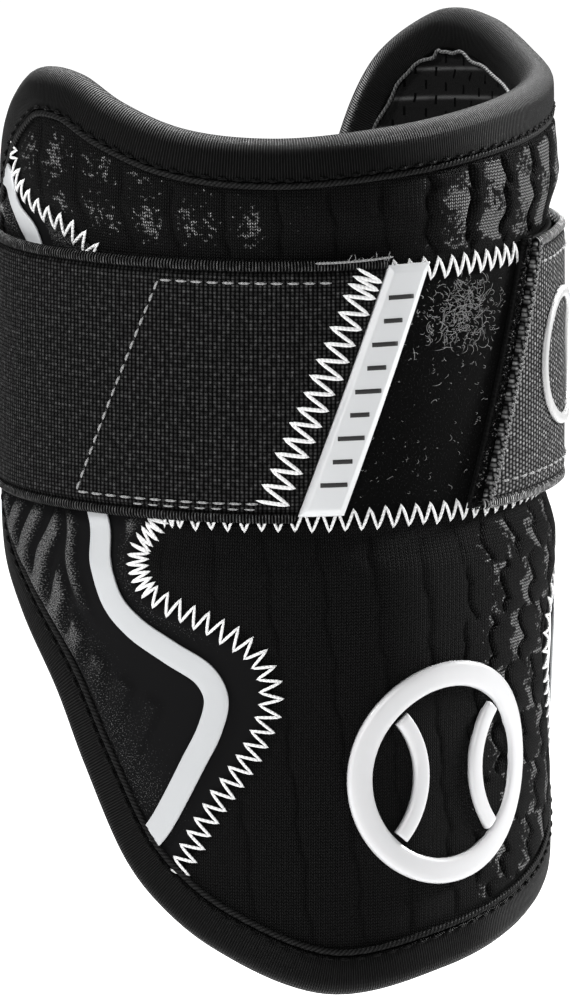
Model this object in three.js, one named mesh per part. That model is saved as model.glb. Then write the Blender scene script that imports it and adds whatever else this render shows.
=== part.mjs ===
// A baseball elbow guard, in millimetres with +Z up the arm. The origin is on the arm's axis at the middle of
// the strap's width, and the guarded side of the elbow faces -Y.
// Every soft piece is drawn on a flat pattern, where x is the distance along the guard's oval from the front
// centre, y is the height and z is the distance out of the oval. wrap() bends the pattern round the arm.
import * as THREE from "three";

// The oval of the padded shell's outer face.
const halfWidth = 54;
const frontDepth = 56;
const backDepth = 48;

// The shell's outline on the pattern.
const halfGirth = 122.6; // front centre to either side end
const rimRise = 62.3; // middle of the strap to the highest point of the rim
const rimDrop = 119; // middle of the strap to the lowest point of the rim

// The shell's layers.
const shellWall = 3;
const liningWall = 1.2;
const layerGap = 0.5;
const seamGap = 0.3;
const seat = 0.3; // clearance of a piece that lies on another

// The tape folded round the rim.
const tapeWall = 0.7;
const tapeWidth = 8;
const tapeCore = 2.2; // thickness of the rolled tape at the crest of the rim
const edgeSeat = 0.8; // clearance between that roll and the edges of the layers inside it

// How the strap presses the padding in and the padding swells beside it.
const strapPinch = 1;
const padSwell = 1;
const swellStart = 2; // distance past the strap's edge where the padding starts to rise
const swellFull = 11;
const swellEnd = 50;
const flatRim = 9; // the padding stays flat this near the rim
const fullPad = 22; // and is full this far from it

// The elastic strap, sewn at the front left and led round the back to a tab at the front right.
const strapWidth = 51;
const strapWall = 1.3;
const sewnEnd = -22.8; // x of the sewn end at mid width
const tabEnd = 16.8; // x of the tab's end at mid width
const strapSlant = 19; // how far both ends lean over the strap's width
const tabBulge = 2.1; // how far the strap stands off the oval beside the tab
const hookWall = 1.2;
const hookReach = 42;
const hookPeek = 2.8; // how far the hook strip shows past the tab's end

// The loop band across the front.
const loopBandMargin = 1.5; // how much narrower than the strap it is at each edge
const loopBandDrop = 1.2; // its middle below the strap's middle

// The glossy bar over the sewn end.
const labelWidth = 8.9;
const labelHeight = 48.4;
const labelWall = 1.8;
const labelBevel = 0.7;

// White trim.
const stripeWidth = 4.8;
const filmWall = 0.5;
const filmSeat = 0.5; // the film bridges the padding's soft hollows
const ballRadius = 22;
const ballBar = 5;
const ballSeamBar = 3.2;
const ballDrop = 76.5; // middle of the ball below the strap's middle
const badgeWall = 1.4;
const tabRingRadius = 12.5;
const tabRingBar = 2.2;
const tabRingPlace = 41; // x of the ring's middle
const tabRingWall = 0.8;

// The rim, from the lower corner of the left end along the bottom, up the right end and back along the top.
// around is a share of the half girth, drop of the rim's drop and rise of its rise.
const rimRows = [
  { around: -0.985, drop: 0.2, corner: "leftEndFoot" },
  { around: -0.918, drop: 0.315 },
  { around: -0.797, drop: 0.42 },
  { around: -0.705, drop: 0.517 },
  { around: -0.635, drop: 0.639, corner: "leftFoot" },
  { around: -0.55, drop: 0.79, corner: "leftStripeFoot" },
  { around: -0.489, drop: 0.857, corner: "leftSeamFoot" },
  { around: -0.395, drop: 0.925 },
  { around: -0.21, drop: 1 },
  { around: 0, drop: 0.975 },
  { around: 0.2, drop: 0.93 },
  { around: 0.38, drop: 0.87 },
  { around: 0.458, drop: 0.815, corner: "rightSeamFoot" },
  { around: 0.52, drop: 0.752, corner: "rightStripeFoot" },
  { around: 0.574, drop: 0.68, corner: "rightFoot" },
  { around: 0.674, drop: 0.534 },
  { around: 0.781, drop: 0.412 },
  { around: 0.918, drop: 0.315 },
  { around: 0.985, drop: 0.2, corner: "rightEndFoot" },
  { around: 1, drop: 0.067 },
  { around: 1, rise: 0.24, corner: "rightEndMiddle" },
  { around: 0.982, rise: 0.515, corner: "rightEndHead" },
  { around: 0.911, rise: 0.82, corner: "rightHead" },
  { around: 0.808, rise: 0.97 },
  { around: 0.751, rise: 1, corner: "rightSeamHead" },
  { around: 0.662, rise: 0.987 },
  { around: 0.52, rise: 0.92 },
  { around: 0.333, rise: 0.891 },
  { around: 0.096, rise: 0.851 },
  { around: -0.112, rise: 0.811 },
  { around: -0.301, rise: 0.787 },
  { around: -0.45, rise: 0.811 },
  { around: -0.566, rise: 0.88 },
  { around: -0.658, rise: 0.952 },
  { around: -0.751, rise: 0.952, corner: "leftSeamHead" },
  { around: -0.812, rise: 0.888 },
  { around: -0.896, rise: 0.746, corner: "leftHead" },
  { around: -0.978, rise: 0.53, corner: "leftEndHead" },
  { around: -1, rise: 0.24, corner: "leftEndMiddle" },
  { around: -1, drop: 0.067 },
];

// The seam between the knit centre and a side panel, from the top. above is a share of the height between the
// loop band and the seam's head on the rim, below of the height between the band and its foot.
const seamAbove = [
  { around: 0.789, above: 0.745 },
  { around: 0.822, above: 0.608 },
  { around: 0.827, above: 0.471 },
  { around: 0.802, above: 0.389 },
  { around: 0.732, above: 0.26 },
  { around: 0.648, above: 0.148 },
];
const bandHead = 0.593; // share of the half girth where the seam meets the band's top edge
const bandFoot = 0.485; // and its bottom edge
const seamBelow = [
  { around: 0.517, below: 0.088 },
  { around: 0.497, below: 0.186 },
  { around: 0.395, below: 0.264 },
  { around: 0.32, below: 0.342 },
  { around: 0.299, below: 0.457 },
  { around: 0.329, below: 0.588 },
  { around: 0.395, below: 0.747 },
  { around: 0.443, below: 0.892 },
];

// The middle line of a stripe, from the top, with the same columns.
const stripeRows = [
  { around: 0.832, above: 0.356 },
  { around: 0.803, above: 0.195 },
  { around: 0.755, above: 0.066 },
  { around: 0.597, below: 0.021 },
  { around: 0.582, below: 0.128 },
  { around: 0.558, below: 0.225 },
  { around: 0.52, below: 0.284 },
  { around: 0.458, below: 0.342 },
  { around: 0.403, below: 0.395 },
  { around: 0.385, below: 0.453 },
  { around: 0.395, below: 0.531 },
  { around: 0.422, below: 0.62 },
  { around: 0.478, below: 0.788 },
];

const black = new THREE.MeshStandardMaterial({ color: 0x141415, roughness: 0.85 });
const knitBlack = new THREE.MeshStandardMaterial({ color: 0x101011, roughness: 0.9 });
const loopBlack = new THREE.MeshStandardMaterial({ color: 0x0c0c0d, roughness: 1 });
const webbingBlack = new THREE.MeshStandardMaterial({ color: 0x1a1a1c, roughness: 0.75 });
const whiteFilm = new THREE.MeshStandardMaterial({ color: 0xe8eaec, roughness: 0.45 });
const whiteGloss = new THREE.MeshStandardMaterial({ color: 0xeceef0, roughness: 0.25 });
const ringGrey = new THREE.MeshStandardMaterial({ color: 0x9a9b9d, roughness: 0.4 });

const guard = new THREE.Group();
const { smoothstep, lerp } = THREE.MathUtils;
const turn = 2 * Math.PI;

function ovalRadius(angle) {
  const depth = Math.cos(angle) > 0 ? frontDepth : backDepth;
  return (halfWidth * depth) / Math.hypot(depth * Math.sin(angle), halfWidth * Math.cos(angle));
}

function ovalPoint(angle, height, out) {
  const radius = ovalRadius(angle) + out;
  return new THREE.Vector3(radius * Math.sin(angle), -radius * Math.cos(angle), height);
}

// Distances along half of the oval, at even steps of the angle from the front centre.
const arcSteps = 360;
const arcs = [0];
for (let step = 1; step <= arcSteps; step++) {
  const before = ovalPoint((Math.PI * (step - 1)) / arcSteps, 0, 0);
  const here = ovalPoint((Math.PI * step) / arcSteps, 0, 0);
  arcs.push(arcs[step - 1] + here.distanceTo(before));
}
const halfRound = arcs[arcSteps];

function angleAt(x) {
  const distance = Math.abs(x);
  if (distance > halfRound) return Math.sign(x) * (turn - angleAt(2 * halfRound - distance));
  const step = Math.min(arcs.findIndex((arc) => arc > distance) - 1, arcSteps - 1);
  const from = step < 0 ? arcSteps - 1 : step;
  const share = (distance - arcs[from]) / (arcs[from + 1] - arcs[from]);
  return (Math.sign(x) * Math.PI * (from + share)) / arcSteps;
}

function wrap(point, out) {
  return ovalPoint(angleAt(point.x), point.y, out);
}

const flat = (x, y) => new THREE.Vector3(x, y, 0);
const halfBand = strapWidth / 2 - loopBandMargin;
const bandTop = halfBand - loopBandDrop;
const bandBottom = -halfBand - loopBandDrop;

const rimPoint = ({ around, rise, drop }) =>
  flat(around * halfGirth, rise === undefined ? -drop * rimDrop : rise * rimRise);

// A side of the guard: its sign, its name and the rim heights that its rows are shares of.
function sideOf(sign, name) {
  const heightAt = (corner) => rimPoint(rimRows.find((row) => row.corner === name + corner)).y;
  const [head, foot] = [heightAt("SeamHead"), heightAt("SeamFoot")];
  const pointOf = ({ around, above, below }) =>
    flat(sign * around * halfGirth, below === undefined ? lerp(bandTop, head, above) : lerp(bandBottom, foot, below));
  return { sign, name, pointOf };
}

const smooth = (points, closed = false) => new THREE.CatmullRomCurve3(points, closed, "centripetal");

const rim = smooth(rimRows.map(rimPoint), true);
const cornerAt = (corner) => rimRows.findIndex((row) => row.corner === corner) / rimRows.length;

// Evenly spaced stations on a stretch of a curve, each with a point and the direction to its left. An inset
// moves the points that way, which on the rim is inwards.
function stations(curve, from, to, count, inset = 0) {
  const fine = 24 * count;
  const at = (k) => {
    const t = (from + ((to - from) * k) / fine + 1) % 1;
    return k === fine && !curve.closed ? to : t;
  };
  const lengths = [0];
  let last = curve.getPoint(at(0));
  for (let k = 1; k <= fine; k++) {
    const next = curve.getPoint(at(k));
    lengths.push(lengths[k - 1] + next.distanceTo(last));
    last = next;
  }
  return Array.from({ length: count + 1 }, (_, i) => {
    const wanted = (lengths[fine] * i) / count;
    const k = lengths.findIndex((length) => length >= wanted - 1e-9);
    const tangent = curve.getTangent(at(k));
    const left = flat(-tangent.y, tangent.x).normalize();
    return { point: curve.getPoint(at(k)).addScaledVector(left, inset), left };
  });
}

const points = (list) => list.map((station) => station.point);

// Points on the rim between two corners, the short way round.
function rimStretch(from, to, count, inset) {
  const start = cornerAt(from);
  const end = cornerAt(to);
  return points(stations(rim, start, end + Math.round(start - end), count, inset));
}

function rimDistance(point) {
  return Math.min(...rimOutline.map((place) => place.distanceTo(point)));
}
const rimOutline = rim.getPoints(300);

// How far the padding's outer face stands out of the oval.
function padFace(point) {
  const past = Math.abs(point.y) - strapWidth / 2;
  const risen = smoothstep(past, swellStart, swellFull);
  const eased = smoothstep(past, swellFull, swellEnd);
  const height = lerp(-strapPinch, padSwell, risen) - padSwell * eased;
  return height * smoothstep(rimDistance(point), flatRim, fullPad);
}

// Adds a closed mesh, with its faces turned outwards.
function addPiece(name, corners, faces, material) {
  const [a, b, c] = [0, 1, 2].map(() => new THREE.Vector3());
  let volume = 0;
  for (let k = 0; k < faces.length; k += 3) {
    a.copy(corners[faces[k]]);
    b.copy(corners[faces[k + 1]]);
    c.copy(corners[faces[k + 2]]);
    volume += a.dot(b.cross(c));
  }
  const index = volume < 0 ? faces.slice().reverse() : faces;
  const geometry = new THREE.BufferGeometry().setFromPoints(corners).setIndex(index);
  geometry.computeVertexNormals();
  const piece = new THREE.Mesh(geometry, material);
  piece.name = name;
  guard.add(piece);
}

const quad = (a, b, c, d) => [a, b, c, a, c, d];

// A grid of pattern points inside four edges.
function fill({ top, bottom, left, right }) {
  const mix = (from, to, share) => from.clone().lerp(to, share);
  const columns = top.length - 1;
  const rows = left.length - 1;
  return left.map((leftPoint, j) =>
    top.map((topPoint, i) => {
      const across = i / columns;
      const down = j / rows;
      const corners = mix(mix(top[0], top[columns], across), mix(bottom[0], bottom[columns], across), down);
      return mix(topPoint, bottom[i], down).add(mix(leftPoint, right[j], across)).sub(corners);
    }),
  );
}

// A closed slab between two faces over a grid, each face given as a distance out of the oval.
function addSlab(name, grid, innerFace, outerFace, material) {
  const rows = grid.length;
  const columns = grid[0].length;
  const corners = [innerFace, outerFace].flatMap((face) =>
    grid.flatMap((row, j) => row.map((point, i) => wrap(point, face(point, i, j)))),
  );
  const at = (side, [j, i]) => (side * rows + j) * columns + i;
  const faces = [];
  for (let j = 0; j < rows - 1; j++)
    for (let i = 0; i < columns - 1; i++) {
      const cell = [[j, i], [j + 1, i], [j + 1, i + 1], [j, i + 1]];
      faces.push(...quad(...cell.map((place) => at(1, place))));
      faces.push(...quad(...cell.map((place) => at(0, place)).reverse()));
    }
  const border = [
    ...Array.from({ length: columns - 1 }, (_, i) => [0, i]),
    ...Array.from({ length: rows - 1 }, (_, j) => [j, columns - 1]),
    ...Array.from({ length: columns - 1 }, (_, i) => [rows - 1, columns - 1 - i]),
    ...Array.from({ length: rows - 1 }, (_, j) => [rows - 1 - j, 0]),
  ];
  // Walls that face each other across a seam split along the same diagonal.
  const order = ([j, i]) => grid[j][i].y + 0.05 * grid[j][i].x;
  border.forEach((place, k) => {
    const next = border[(k + 1) % border.length];
    const wall = [at(1, place), at(1, next), at(0, next), at(0, place)];
    faces.push(...(order(next) > order(place) ? quad(...wall) : quad(...wall.slice(1), wall[0])));
  });
  addPiece(name, corners, faces, material);
}

// A profile carried along stations. Each profile point is a distance to the left of the path and a distance
// out of the oval. The path closes on itself where loop is true.
function addSweep(name, path, profileAt, loop, material) {
  const rings = path.map(({ point, left }) =>
    profileAt(point).map(([aside, out]) => wrap(point.clone().addScaledVector(left, aside), out)),
  );
  const sides = rings[0].length;
  const faces = [];
  const spans = loop ? rings.length : rings.length - 1;
  for (let k = 0; k < spans; k++)
    for (let s = 0; s < sides; s++) {
      const here = k * sides;
      const next = ((k + 1) % rings.length) * sides;
      const t = (s + 1) % sides;
      faces.push(...quad(here + s, next + s, next + t, here + t));
    }
  if (!loop) {
    const last = (rings.length - 1) * sides;
    for (let s = 1; s < sides - 1; s++) faces.push(0, s, s + 1, last, last + s + 1, last + s);
  }
  addPiece(name, rings.flat(), faces, material);
}

// A flat bar with bevelled edges, seated on a face that is given as a distance out of the oval.
function addBar(name, path, { width, wall, bevel = 0, face, gap = seat, loop = false }, material) {
  const profileAt = (point) => {
    const base = face(point) + gap;
    return [
      [-width / 2, base],
      [width / 2, base],
      [width / 2 - bevel, base + wall],
      [bevel - width / 2, base + wall],
    ];
  };
  addSweep(name, path, profileAt, loop, material);
}

// The padded panels, cut from one pattern along the seams.
const edgeInset = tapeCore + edgeSeat;
const seamSteps = { above: 9, band: 6, below: 12 };
const centreSteps = 22;

function seamOf({ sign, name, pointOf }) {
  const rimEnd = (corner) => stations(rim, cornerAt(name + corner), 1, 1, edgeInset)[0].point;
  const above = [rimEnd("SeamHead"), ...seamAbove.map(pointOf), flat(sign * bandHead * halfGirth, bandTop)];
  const below = [flat(sign * bandFoot * halfGirth, bandBottom), ...seamBelow.map(pointOf), rimEnd("SeamFoot")];
  const curve = smooth([...above, ...below]);
  const rows = above.length + below.length - 1;
  const part = (from, to, count) => (inset) => points(stations(curve, from / rows, to / rows, count, inset));
  return {
    above: part(0, above.length - 1, seamSteps.above),
    band: part(above.length - 1, above.length, seamSteps.band),
    below: part(above.length, rows, seamSteps.below),
  };
}

const leftSide = sideOf(-1, "left");
const rightSide = sideOf(1, "right");
const leftSeam = seamOf(leftSide);
const rightSeam = seamOf(rightSide);
const halfGap = seamGap / 2;
const shellInner = () => -shellWall;
const joined = (...parts) => parts.flatMap((part, k) => (k ? part.slice(1) : part));

function addSidePanel({ sign, name }, seam) {
  const inset = sign * halfGap;
  const stretch = (from, to, count) => rimStretch(name + from, name + to, count, edgeInset);
  const across = 10;
  const grid = fill({
    top: stretch("Head", "SeamHead", across),
    bottom: stretch("Foot", "SeamFoot", across),
    left: joined(
      stretch("Head", "EndMiddle", seamSteps.above),
      stretch("EndMiddle", "EndFoot", seamSteps.band),
      stretch("EndFoot", "Foot", seamSteps.below),
    ),
    right: joined(seam.above(inset), seam.band(inset), seam.below(inset)),
  });
  addSlab("side_panel_" + name, grid, shellInner, padFace, black);
}

addSidePanel(leftSide, leftSeam);
addSidePanel(rightSide, rightSeam);

function acrossBand(height, share) {
  const reach = share * halfGirth;
  return Array.from({ length: centreSteps + 1 }, (_, i) => flat(lerp(-reach, reach, i / centreSteps), height));
}

// Ends a seam's edge at the heights of the band's edges, so that the panels keep their gap at the corners.
function levelled(edge, { head, foot }) {
  if (head !== undefined) edge[0].y = head;
  if (foot !== undefined) edge[edge.length - 1].y = foot;
  return edge;
}

const overBand = bandTop + halfGap;
const upperGrid = fill({
  top: rimStretch("leftSeamHead", "rightSeamHead", centreSteps, edgeInset),
  bottom: acrossBand(overBand, bandHead),
  left: levelled(leftSeam.above(halfGap), { foot: overBand }),
  right: levelled(rightSeam.above(-halfGap), { foot: overBand }),
});
addSlab("upper_panel", upperGrid, shellInner, padFace, knitBlack);

const bandEnds = { head: bandTop - halfGap, foot: bandBottom + halfGap };
const bandGrid = fill({
  top: acrossBand(bandEnds.head, bandHead),
  bottom: acrossBand(bandEnds.foot, bandFoot),
  left: levelled(leftSeam.band(halfGap), bandEnds),
  right: levelled(rightSeam.band(-halfGap), bandEnds),
});
addSlab("loop_band", bandGrid, shellInner, padFace, loopBlack);

const underBand = bandBottom - halfGap;
const lowerGrid = fill({
  top: acrossBand(underBand, bandFoot),
  bottom: rimStretch("leftSeamFoot", "rightSeamFoot", centreSteps, edgeInset),
  left: levelled(leftSeam.below(halfGap), { head: underBand }),
  right: levelled(rightSeam.below(-halfGap), { head: underBand }),
});
addSlab("lower_panel", lowerGrid, shellInner, padFace, knitBlack);

// The lining covers the whole inside of the shell.
const liningFace = -shellWall - layerGap;
const liningSteps = { across: 32, down: 12 };
const liningGrid = fill({
  top: rimStretch("leftEndHead", "rightEndHead", liningSteps.across, edgeInset),
  bottom: rimStretch("leftEndFoot", "rightEndFoot", liningSteps.across, edgeInset),
  left: rimStretch("leftEndHead", "leftEndFoot", liningSteps.down, edgeInset),
  right: rimStretch("rightEndHead", "rightEndFoot", liningSteps.down, edgeInset),
});
addSlab("lining", liningGrid, () => liningFace - liningWall, () => liningFace, black);

// The binding is a channel: a round rim, two legs and the slot that holds the layers' edges.
const slotOuter = seat;
const slotInner = liningFace - liningWall - seat;
const rollRadius = (slotOuter - slotInner) / 2 + tapeWall;
const rollMiddle = (slotOuter + slotInner) / 2;
const rollTurns = [90, 135, 180, 225, 270].map(THREE.MathUtils.degToRad);
const bindingProfile = [
  [tapeWidth, slotOuter + tapeWall],
  ...rollTurns.map((angle) => [
    rollRadius + rollRadius * Math.cos(angle),
    rollMiddle + rollRadius * Math.sin(angle),
  ]),
  [tapeWidth, slotInner - tapeWall],
  [tapeWidth, slotInner],
  [tapeCore, slotInner],
  [tapeCore, slotOuter],
  [tapeWidth, slotOuter],
];
const bindingSteps = 92;
const bindingPath = stations(rim, 0, 1, bindingSteps).slice(0, bindingSteps);
addSweep("edge_binding", bindingPath, () => bindingProfile, true, black);

// The strap. Its lift is the distance of its inner face out of the oval, at shares of its length, which come
// from places on the shell to the left and right of the front centre.
const strapLength = 2 * halfRound + sewnEnd - tabEnd;
const sewnLift = seat - strapPinch + 0.2;
const overRim = slotOuter + tapeWall + seat;
const tabLift = hookWall + 3 * seat - strapPinch;
const leftAlong = (around) => (sewnEnd + around * halfGirth) / strapLength;
const rightAlong = (around) => (sewnEnd + 2 * halfRound - around * halfGirth) / strapLength;
const liftRows = [
  { along: 0, lift: sewnLift },
  { along: leftAlong(0.45), lift: sewnLift },
  { along: leftAlong(0.8), lift: overRim },
  { along: rightAlong(0.62), lift: overRim },
  { along: rightAlong(0.4), lift: tabBulge },
  { along: rightAlong(0.26), lift: tabLift },
  { along: 1, lift: tabLift },
];

function strapLift(along) {
  const next = Math.max(1, liftRows.findIndex((row) => row.along >= along - 1e-9));
  const [from, to] = [liftRows[next - 1], liftRows[next]];
  return lerp(from.lift, to.lift, smoothstep(along, from.along, to.along));
}

const lean = (y) => (strapSlant * y) / strapWidth;
const leftShare = 0.1; // shares of the strap's length over which its columns turn upright
const tabShare = 0.2;
const strapColumns = 48;
const strapGrid = [-0.5, -0.17, 0.17, 0.5].map((share) =>
  Array.from({ length: strapColumns + 1 }, (_, i) => {
    const along = i / strapColumns;
    const leaning = Math.max(0, 1 - along / leftShare, 1 - (1 - along) / tabShare);
    const y = share * strapWidth;
    return flat(sewnEnd - along * strapLength + leaning * lean(y), y);
  }),
);
const strapInner = (point, i) => strapLift(i / strapColumns);
addSlab("strap", strapGrid, strapInner, (point, i) => strapInner(point, i) + strapWall, webbingBlack);

const hookColumns = 7;
const hookGrid = [-0.5, -0.25, 0, 0.25, 0.5].map((share) =>
  Array.from({ length: hookColumns + 1 }, (_, i) => {
    const y = share * (strapWidth - 2 * seat);
    return flat(tabEnd + lean(y) + lerp(-hookPeek, hookReach, i / hookColumns), y);
  }),
);
const hookInner = () => seat - strapPinch;
addSlab("hook_strip", hookGrid, hookInner, () => hookInner() + hookWall, loopBlack);

// The label bar stands beside the strap's sewn end, with its edges bevelled.
const labelShares = { across: [0, 0.14, 0.5, 0.86, 1], up: [-0.5, -0.47, -0.2, 0.2, 0.47, 0.5] };
const labelGrid = labelShares.up.map((share) =>
  labelShares.across.map((across) => {
    const y = share * labelHeight;
    return flat(sewnEnd + seamGap + lean(y) + across * labelWidth, y);
  }),
);
const labelInner = () => seat - strapPinch;
function labelOuter(point, i, j) {
  const onEdge = [0, labelShares.across.length - 1].includes(i) || [0, labelShares.up.length - 1].includes(j);
  return labelInner() + labelWall - (onEdge ? labelBevel : 0);
}
addSlab("strap_label", labelGrid, labelInner, labelOuter, whiteGloss);

// The stripes run from the binding at the top, under the strap, to the binding at the bottom.
function addStripe({ name, pointOf }) {
  const endInset = tapeWidth + seat + stripeWidth / 2;
  const rimEnd = (corner) => stations(rim, cornerAt(name + corner), 1, 1, endInset)[0].point;
  const middle = smooth([rimEnd("Head"), ...stripeRows.map(pointOf), rimEnd("StripeFoot")]);
  const size = { width: stripeWidth, wall: filmWall, gap: filmSeat, face: padFace };
  addBar("stripe_" + name, stations(middle, 0, 1, 34), size, whiteFilm);
}

addStripe(leftSide);
addStripe(rightSide);

// Stations on an arc, with their left towards its middle.
function arc(middle, radius, from, to, count) {
  return Array.from({ length: count }, (_, k) => {
    const angle = lerp(from, to, k / (count - 1));
    const left = flat(-Math.cos(angle), -Math.sin(angle));
    return { point: middle.clone().addScaledVector(left, -radius), left };
  });
}

const ring = (middle, radius, count) => arc(middle, radius, 0, (turn * (count - 1)) / count, count);

// The ball badge: a ring and the ball's two seams inside it.
const ballMiddle = flat(0, -ballDrop);
const badge = { wall: badgeWall, face: padFace };
const ringSeat = { ...badge, width: ballBar, bevel: 0.8, loop: true };
addBar("emblem_ring", ring(ballMiddle, ballRadius - ballBar / 2, 44), ringSeat, whiteGloss);

const seamRadius = 0.8 * ballRadius;
const seamOffset = 1.1 * ballRadius;
const seamReach = ballRadius - ballBar - 3 * seat;
const seamCosine = (seamOffset ** 2 + seamRadius ** 2 - seamReach ** 2) / (2 * seamOffset * seamRadius);
const seamHalf = Math.acos(seamCosine);
for (const [name, side] of [["emblem_seam_left", -1], ["emblem_seam_right", 1]]) {
  const middle = flat(side * seamOffset, -ballDrop);
  const facing = side > 0 ? Math.PI : 0;
  const path = arc(middle, seamRadius, facing - seamHalf, facing + seamHalf, 10);
  addBar(name, path, { ...badge, width: ballSeamBar, bevel: 0.6 }, whiteGloss);
}

// The plain raised ring on the strap's tab.
const tabFace = (point) => strapLift((sewnEnd - (point.x - 2 * halfRound)) / strapLength) + strapWall;
const tabSeat = { width: tabRingBar, wall: tabRingWall, bevel: 0.5, face: tabFace, loop: true };
addBar("tab_ring", ring(flat(tabRingPlace, 0), tabRingRadius, 32), tabSeat, ringGrey);

export default guard;
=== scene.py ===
# A baseball elbow guard: knit, webbing, tape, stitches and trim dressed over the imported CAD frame.
# Every soft piece is drawn on a flat pattern in millimetres, with x along the guard's oval from the front
# centre, y up the arm and a distance out of the oval. wrap() bends the pattern round the arm, in metres.
import math

import bpy
import numpy as np
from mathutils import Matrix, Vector, kdtree


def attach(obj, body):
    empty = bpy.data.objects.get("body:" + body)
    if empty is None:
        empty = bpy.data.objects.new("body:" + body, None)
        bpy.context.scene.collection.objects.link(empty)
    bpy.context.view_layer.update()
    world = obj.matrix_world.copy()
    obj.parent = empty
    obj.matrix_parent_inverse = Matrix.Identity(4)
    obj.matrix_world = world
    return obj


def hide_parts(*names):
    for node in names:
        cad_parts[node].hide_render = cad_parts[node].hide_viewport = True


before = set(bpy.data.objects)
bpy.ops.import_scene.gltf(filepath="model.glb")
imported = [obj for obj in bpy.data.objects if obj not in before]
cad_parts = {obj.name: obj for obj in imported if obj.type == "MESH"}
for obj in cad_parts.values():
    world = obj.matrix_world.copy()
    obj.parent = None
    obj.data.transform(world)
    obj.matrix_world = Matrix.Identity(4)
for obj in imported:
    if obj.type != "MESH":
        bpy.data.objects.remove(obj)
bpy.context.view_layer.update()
scene = bpy.context.scene
chance = np.random.default_rng(11)
mm = 0.001

print("camera, floor and lights")
view = {"azimuth": -38, "elevation": 9.5, "distance": 2.2, "lens": 402, "aimRight": 0.00305, "aimDown": 0.03044}
studio = {"floorHeight": -0.45, "floorReach": 7, "floorTone": 0.35, "world": 0.07}
lamps = {  # azimuth, elevation, distance, size and watts
    "keySoftbox": (-50, 27, 1.6, 1.2, 16),
    "rightRim": (76, 24, 1.3, 0.3, 28),
    "leftRim": (-112, 40, 1.4, 0.3, 13),
    "topSoftbox": (150, 75, 1.4, 0.4, 220),
}


def towards(azimuth, elevation):
    a, e = math.radians(azimuth), math.radians(elevation)
    return Vector((math.sin(a) * math.cos(e), -math.cos(a) * math.cos(e), math.sin(e)))


def addCamera():
    camera = bpy.data.objects.new("camera", bpy.data.cameras.new("camera"))
    camera.data.sensor_fit = "VERTICAL"
    camera.data.sensor_height = 36
    camera.data.lens = view["lens"]
    outward = towards(view["azimuth"], view["elevation"])
    right = Vector((-outward.y, outward.x, 0)).normalized()
    up = outward.cross(right)
    aim = right * view["aimRight"] - up * view["aimDown"]
    camera.location = outward * view["distance"]
    camera.rotation_euler = (aim - camera.location).to_track_quat("-Z", "Y").to_euler()
    camera.data.clip_end = 60
    scene.collection.objects.link(camera)
    scene.camera = camera


def addLamps():
    for name, (azimuth, elevation, distance, size, watts) in lamps.items():
        lamp = bpy.data.objects.new(name, bpy.data.lights.new(name, "AREA"))
        lamp.data.size = size
        lamp.data.energy = watts
        lamp.location = towards(azimuth, elevation) * distance
        lamp.rotation_euler = (-lamp.location).to_track_quat("-Z", "Y").to_euler()
        scene.collection.objects.link(lamp)
    world = bpy.data.worlds.new("paleStudio")
    world.use_nodes = True
    background = world.node_tree.nodes["Background"]
    background.inputs["Color"].default_value = (1, 1, 1, 1)
    background.inputs["Strength"].default_value = studio["world"]
    scene.world = world


def addFloor():
    reach, height, tone = studio["floorReach"], studio["floorHeight"], studio["floorTone"]
    corners = [(x * reach, y * reach, height) for x, y in ((-1, -1), (1, -1), (1, 1), (-1, 1))]
    mesh = bpy.data.meshes.new("floor")
    mesh.from_pydata(corners, [], [(0, 1, 2, 3)])
    floor = bpy.data.objects.new("floor", mesh)
    scene.collection.objects.link(floor)
    material = bpy.data.materials.new("palePaper")
    material.use_nodes = True
    shader = material.node_tree.nodes["Principled BSDF"]
    shader.inputs["Base Color"].default_value = (tone, tone, tone, 1)
    shader.inputs["Roughness"].default_value = 1
    shader.inputs["Emission Color"].default_value = (1, 1, 1, 1)
    seen = material.node_tree.nodes.new("ShaderNodeLightPath")  # paper white to the camera, no lamp to the object
    material.node_tree.links.new(seen.outputs["Is Camera Ray"], shader.inputs["Emission Strength"])
    mesh.materials.append(material)


addCamera()
addLamps()
addFloor()
scene.view_settings.view_transform = "Standard"

print("shader groups")


def calc(operation, *values):  # a math node in the tree that its linked values belong to
    tree = next(value.id_data for value in values if isinstance(value, bpy.types.NodeSocket))
    node = tree.nodes.new("ShaderNodeMath")
    node.operation = operation
    for socket, value in zip(node.inputs, values):
        if isinstance(value, bpy.types.NodeSocket):
            tree.links.new(value, socket)
        else:
            socket.default_value = value
    return node.outputs[0]


def times(*values):
    return calc("MULTIPLY", *values)


def newGroup(name, numbers, outputs):
    group = bpy.data.node_groups.new(name, "ShaderNodeTree")
    group.interface.new_socket("Pattern", in_out="INPUT", socket_type="NodeSocketVector")
    for label, value in numbers.items():
        group.interface.new_socket(label, in_out="INPUT", socket_type="NodeSocketFloat").default_value = value
    for label in outputs:
        group.interface.new_socket(label, in_out="OUTPUT", socket_type="NodeSocketFloat")
    given = group.nodes.new("NodeGroupInput").outputs
    split = group.nodes.new("ShaderNodeSeparateXYZ")
    group.links.new(given["Pattern"], split.inputs[0])
    return group, given, split.outputs, group.nodes.new("NodeGroupOutput").inputs


def makeKnit():  # rows of V stitches
    tree, given, at, out = newGroup("knitStitches", {"Wale": 0.75, "Course": 0.6, "Slant": 0.7}, ["Height"])
    across = calc("FRACT", calc("DIVIDE", at[0], given["Wale"]))
    leg = calc("ABSOLUTE", calc("SUBTRACT", times(across, 2), 1))
    shift = times(leg, given["Slant"])
    up = calc("FRACT", calc("ADD", calc("DIVIDE", at[1], given["Course"]), shift))
    hump = calc("SINE", times(up, math.pi))
    side = calc("SINE", times(leg, math.pi))
    tree.links.new(times(hump, side), out["Height"])
    return tree


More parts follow.
